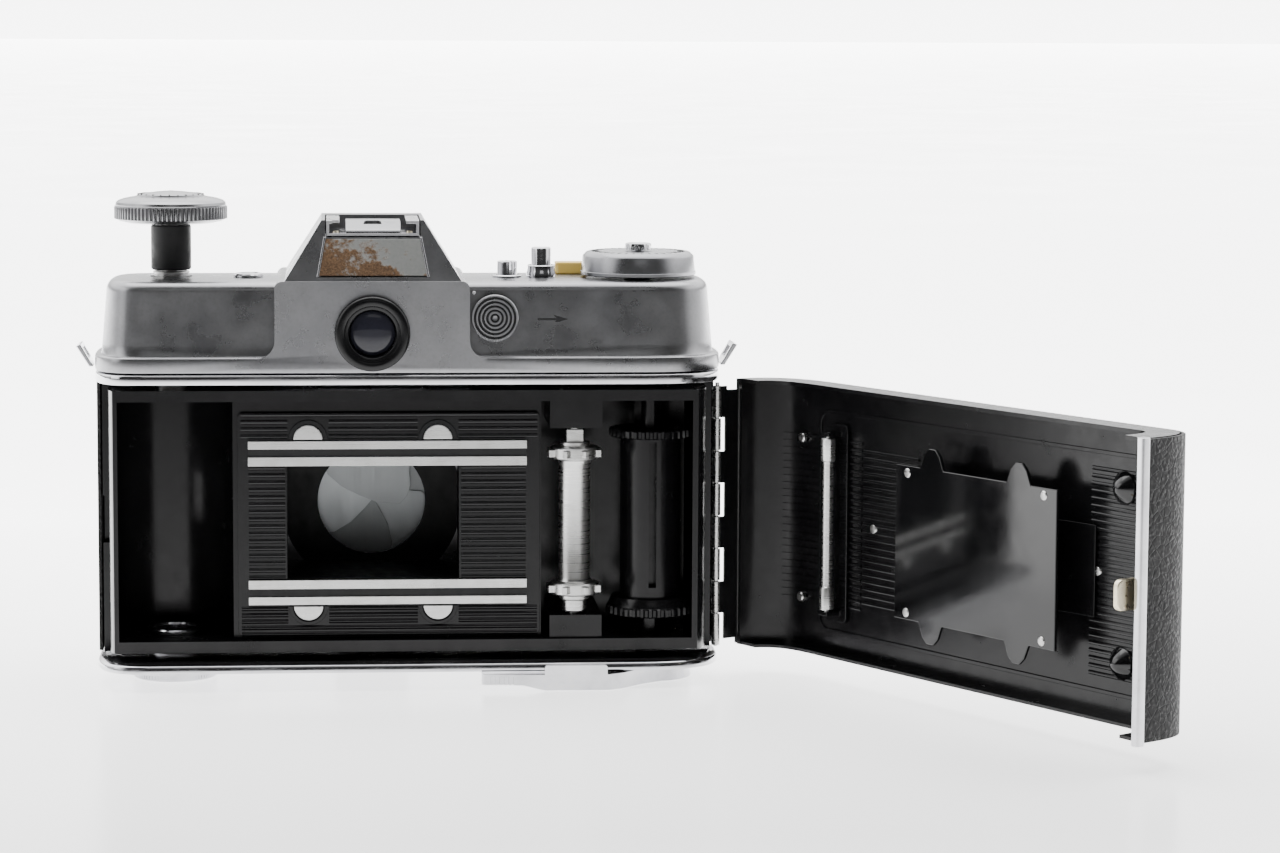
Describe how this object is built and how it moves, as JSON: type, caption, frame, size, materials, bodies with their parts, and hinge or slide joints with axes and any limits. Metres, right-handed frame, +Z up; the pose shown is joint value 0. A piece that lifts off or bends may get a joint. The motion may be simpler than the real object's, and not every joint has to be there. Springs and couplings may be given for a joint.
{
  "type": "35 mm single lens reflex camera",
  "caption": "Leaf-shutter reflex camera for 35 mm film, standing on its base with its hinged back door open and the rewind knob pulled up.",
  "frame": {"origin": "on the outer face of the bottom plate, below the point where the lens axis meets the film plane", "axes": "+Z up, +Y from the back towards the lens, +X to the right seen from the back"},
  "size_m": [0.2126, 0.1717, 0.1033],
  "materials": {
    "black_paint": "gloss",
    "matt_black": "matte",
    "machined_metal": "satin",
    "bright_chrome": "polished",
    "satin_chrome": "satin",
    "corroded_plate": "worn, rusty",
    "optical_glass": "clear",
    "leatherette": "grained",
    "amber_plastic": "gloss",
    "brass_lug": "satin",
    "mirror_silver": "mirror",
    "blade_steel": "satin"
  },
  "bodies": {
    "camera_body": {"body_casting": "black_paint", "film_gate_plate": "black_paint", "film_rail_upper": "machined_metal", "film_rail_lower": "machined_metal", "bottom_plate": "bright_chrome", "tripod_socket": "bright_chrome", "top_belt": "bright_chrome", "top_cover": "satin_chrome", "prism_rear_plate": "corroded_plate", "accessory_shoe": "bright_chrome", "shoe_spring": "satin_chrome", "eyepiece_ring": "matt_black", "eyepiece_glass": "optical_glass", "pentaprism": "optical_glass", "focusing_screen": "optical_glass", "mirror_box": "matt_black", "front_housing": "satin_chrome", "shutter_housing": "satin_chrome", "lens_barrel": "matt_black", "lens_front_glass": "optical_glass", "lens_rear_glass": "optical_glass", "meter_cell_window": "optical_glass", "body_leather_left": "leatherette", "body_leather_right": "leatherette", "strap_lug_left": "bright_chrome", "strap_lug_right": "bright_chrome", "cover_screw": "bright_chrome", "release_collar": "bright_chrome", "meter_window": "amber_plastic", "hinge_leaf_body": "machined_metal", "hinge_pin": "machined_metal"},
    "door": {"back_door": "black_paint", "door_leather": "leatherette", "door_edge_strip": "bright_chrome", "door_latch_lug": "brass_lug", "hinge_leaf_door": "machined_metal", "roller_bracket": "black_paint", "pressure_spring": "matt_black"},
    "film_pressure": {"pressure_plate": "black_paint"},
    "film_roller": {"guide_roller": "machined_metal"},
    "rewind_lift": {"rewind_sleeve": "matt_black"},
    "rewind_spindle": {"rewind_shaft": "machined_metal", "rewind_knob": "satin_chrome"},
    "release": {"shutter_release": "bright_chrome"},
    "counter": {"counter_button": "bright_chrome"},
    "slide": {"counter_slide": "satin_chrome"},
    "dial": {"meter_dial": "satin_chrome"},
    "dial_knob": {"meter_knob": "bright_chrome"},
    "lever": {"wind_lever": "bright_chrome"},
    "sprocket_wheel": {"sprocket": "machined_metal"},
    "spool": {"take_up_spool": "matt_black"},
    "mirror": {"reflex_mirror": "mirror_silver"},
    "light_flap": {"capping_plate": "matt_black"},
    "aperture": {"aperture_ring": "satin_chrome"},
    "focus": {"focus_ring": "matt_black"},
    "blade_1": {"shutter_blade_1": "blade_steel"},
    "blade_2": {"shutter_blade_2": "blade_steel"},
    "blade_3": {"shutter_blade_3": "blade_steel"},
    "blade_4": {"shutter_blade_4": "blade_steel"},
    "blade_5": {"shutter_blade_5": "blade_steel"}
  },
  "joints": [
    {"name": "back_door_hinge", "type": "hinge", "parent": "camera_body", "child": "door", "pos_m": [0.0731, 0.008, 0.0305], "axis": [0, 0, 1], "range_deg": [-120.5, 30]},
    {"name": "pressure_plate_slide", "type": "slide", "parent": "door", "child": "film_pressure", "axis": [0.8616, 0.5075, 0], "range_m": [0, 0.0012], "stiffness_N_per_m": 400, "springref_m": -0.0005},
    {"name": "guide_roller_spin", "type": "hinge", "parent": "door", "child": "film_roller", "pos_m": [0.09516, -0.00581, 0.0305], "axis": [0, 0, 1], "continuous": true},
    {"name": "rewind_pull", "type": "slide", "parent": "camera_body", "child": "rewind_lift", "axis": [0, 0, 1], "range_m": [-0.011, 0]},
    {"name": "rewind_turn", "type": "hinge", "parent": "rewind_lift", "child": "rewind_spindle", "pos_m": [-0.0421, 0.0115, 0.09], "axis": [0, 0, 1], "continuous": true},
    {"name": "shutter_release_press", "type": "slide", "parent": "camera_body", "child": "release", "axis": [0, 0, -1], "range_m": [0, 0.0025], "stiffness_N_per_m": 150, "springref_m": -0.001},
    {"name": "counter_button_press", "type": "slide", "parent": "camera_body", "child": "counter", "axis": [0, 0, -1], "range_m": [0, 0.0012], "stiffness_N_per_m": 150, "springref_m": -0.001},
    {"name": "counter_slide_shift", "type": "slide", "parent": "camera_body", "child": "slide", "axis": [1, 0, 0], "range_m": [0, 0.004], "stiffness_N_per_m": 100},
    {"name": "meter_dial_turn", "type": "hinge", "parent": "camera_body", "child": "dial", "pos_m": [0.05605, 0.008, 0.084], "axis": [0, 0, 1], "range_deg": [-150, 150]},
    {"name": "film_speed_knob_turn", "type": "hinge", "parent": "camera_body", "child": "dial_knob", "pos_m": [0.05605, 0.008, 0.088], "axis": [0, 0, 1], "continuous": true},
    {"name": "wind_lever_swing", "type": "hinge", "parent": "camera_body", "child": "lever", "pos_m": [0.0589, 0.008, -0.001], "axis": [0, 0, 1], "range_deg": [0, 130], "stiffness_Nm_per_rad": 0.02},
    {"name": "sprocket_turn", "type": "hinge", "parent": "camera_body", "child": "sprocket_wheel", "pos_m": [0.0424, 0.003, 0.0305], "axis": [0, 0, 1], "range_deg": [0, 361]},
    {"name": "take_up_turn", "type": "hinge", "parent": "camera_body", "child": "spool", "pos_m": [0.0589, 0.008, 0.0305], "axis": [0, 0, 1], "range_deg": [0, 312]},
    {"name": "mirror_swing", "type": "hinge", "parent": "camera_body", "child": "mirror", "pos_m": [0, 0.009, 0.0452], "axis": [1, 0, 0], "range_deg": [-45, 0], "stiffness_Nm_per_rad": 0.02, "springref_deg": 28.65},
    {"name": "light_flap_swing", "type": "hinge", "parent": "camera_body", "child": "light_flap", "pos_m": [0, 0.0048, 0.0437], "axis": [1, 0, 0], "range_deg": [-90, 0]},
    {"name": "aperture_ring_turn", "type": "hinge", "parent": "camera_body", "child": "aperture", "pos_m": [0, 0.0504, 0.0305], "axis": [0, 1, 0], "range_deg": [0, 60]},
    {"name": "focus_ring_turn", "type": "hinge", "parent": "camera_body", "child": "focus", "pos_m": [0, 0.058, 0.0305], "axis": [0, 1, 0], "range_deg": [0, 200]},
    {"name": "blade_1_swing", "type": "hinge", "parent": "camera_body", "child": "blade_1", "pos_m": [0, 0.0394, 0.0475], "axis": [0, 1, 0], "range_deg": [0, 45], "stiffness_Nm_per_rad": 0.002, "springref_deg": -11.46},
    {"name": "blade_2_swing", "type": "hinge", "parent": "camera_body", "child": "blade_2", "pos_m": [-0.01617, 0.04005, 0.03575], "axis": [0, 1, 0], "range_deg": [0, 45]},
    {"name": "blade_3_swing", "type": "hinge", "parent": "camera_body", "child": "blade_3", "pos_m": [-0.00999, 0.0407, 0.01675], "axis": [0, 1, 0], "range_deg": [0, 45]},
    {"name": "blade_4_swing", "type": "hinge", "parent": "camera_body", "child": "blade_4", "pos_m": [0.00999, 0.04135, 0.01675], "axis": [0, 1, 0], "range_deg": [0, 45]},
    {"name": "blade_5_swing", "type": "hinge", "parent": "camera_body", "child": "blade_5", "pos_m": [0.01617, 0.042, 0.03575], "axis": [0, 1, 0], "range_deg": [0, 45]}
  ],
  "couplings": [
    {"joint": "sprocket_turn", "follows": "wind_lever_swing", "ratio": 2.7692},
    {"joint": "take_up_turn", "follows": "wind_lever_swing", "ratio": 2.39},
    {"joint": "light_flap_swing", "follows": "mirror_swing", "ratio": 2},
    {"joint": "blade_2_swing", "follows": "blade_1_swing", "ratio": 1},
    {"joint": "blade_3_swing", "follows": "blade_1_swing", "ratio": 1},
    {"joint": "blade_4_swing", "follows": "blade_1_swing", "ratio": 1},
    {"joint": "blade_5_swing", "follows": "blade_1_swing", "ratio": 1}
  ]
}
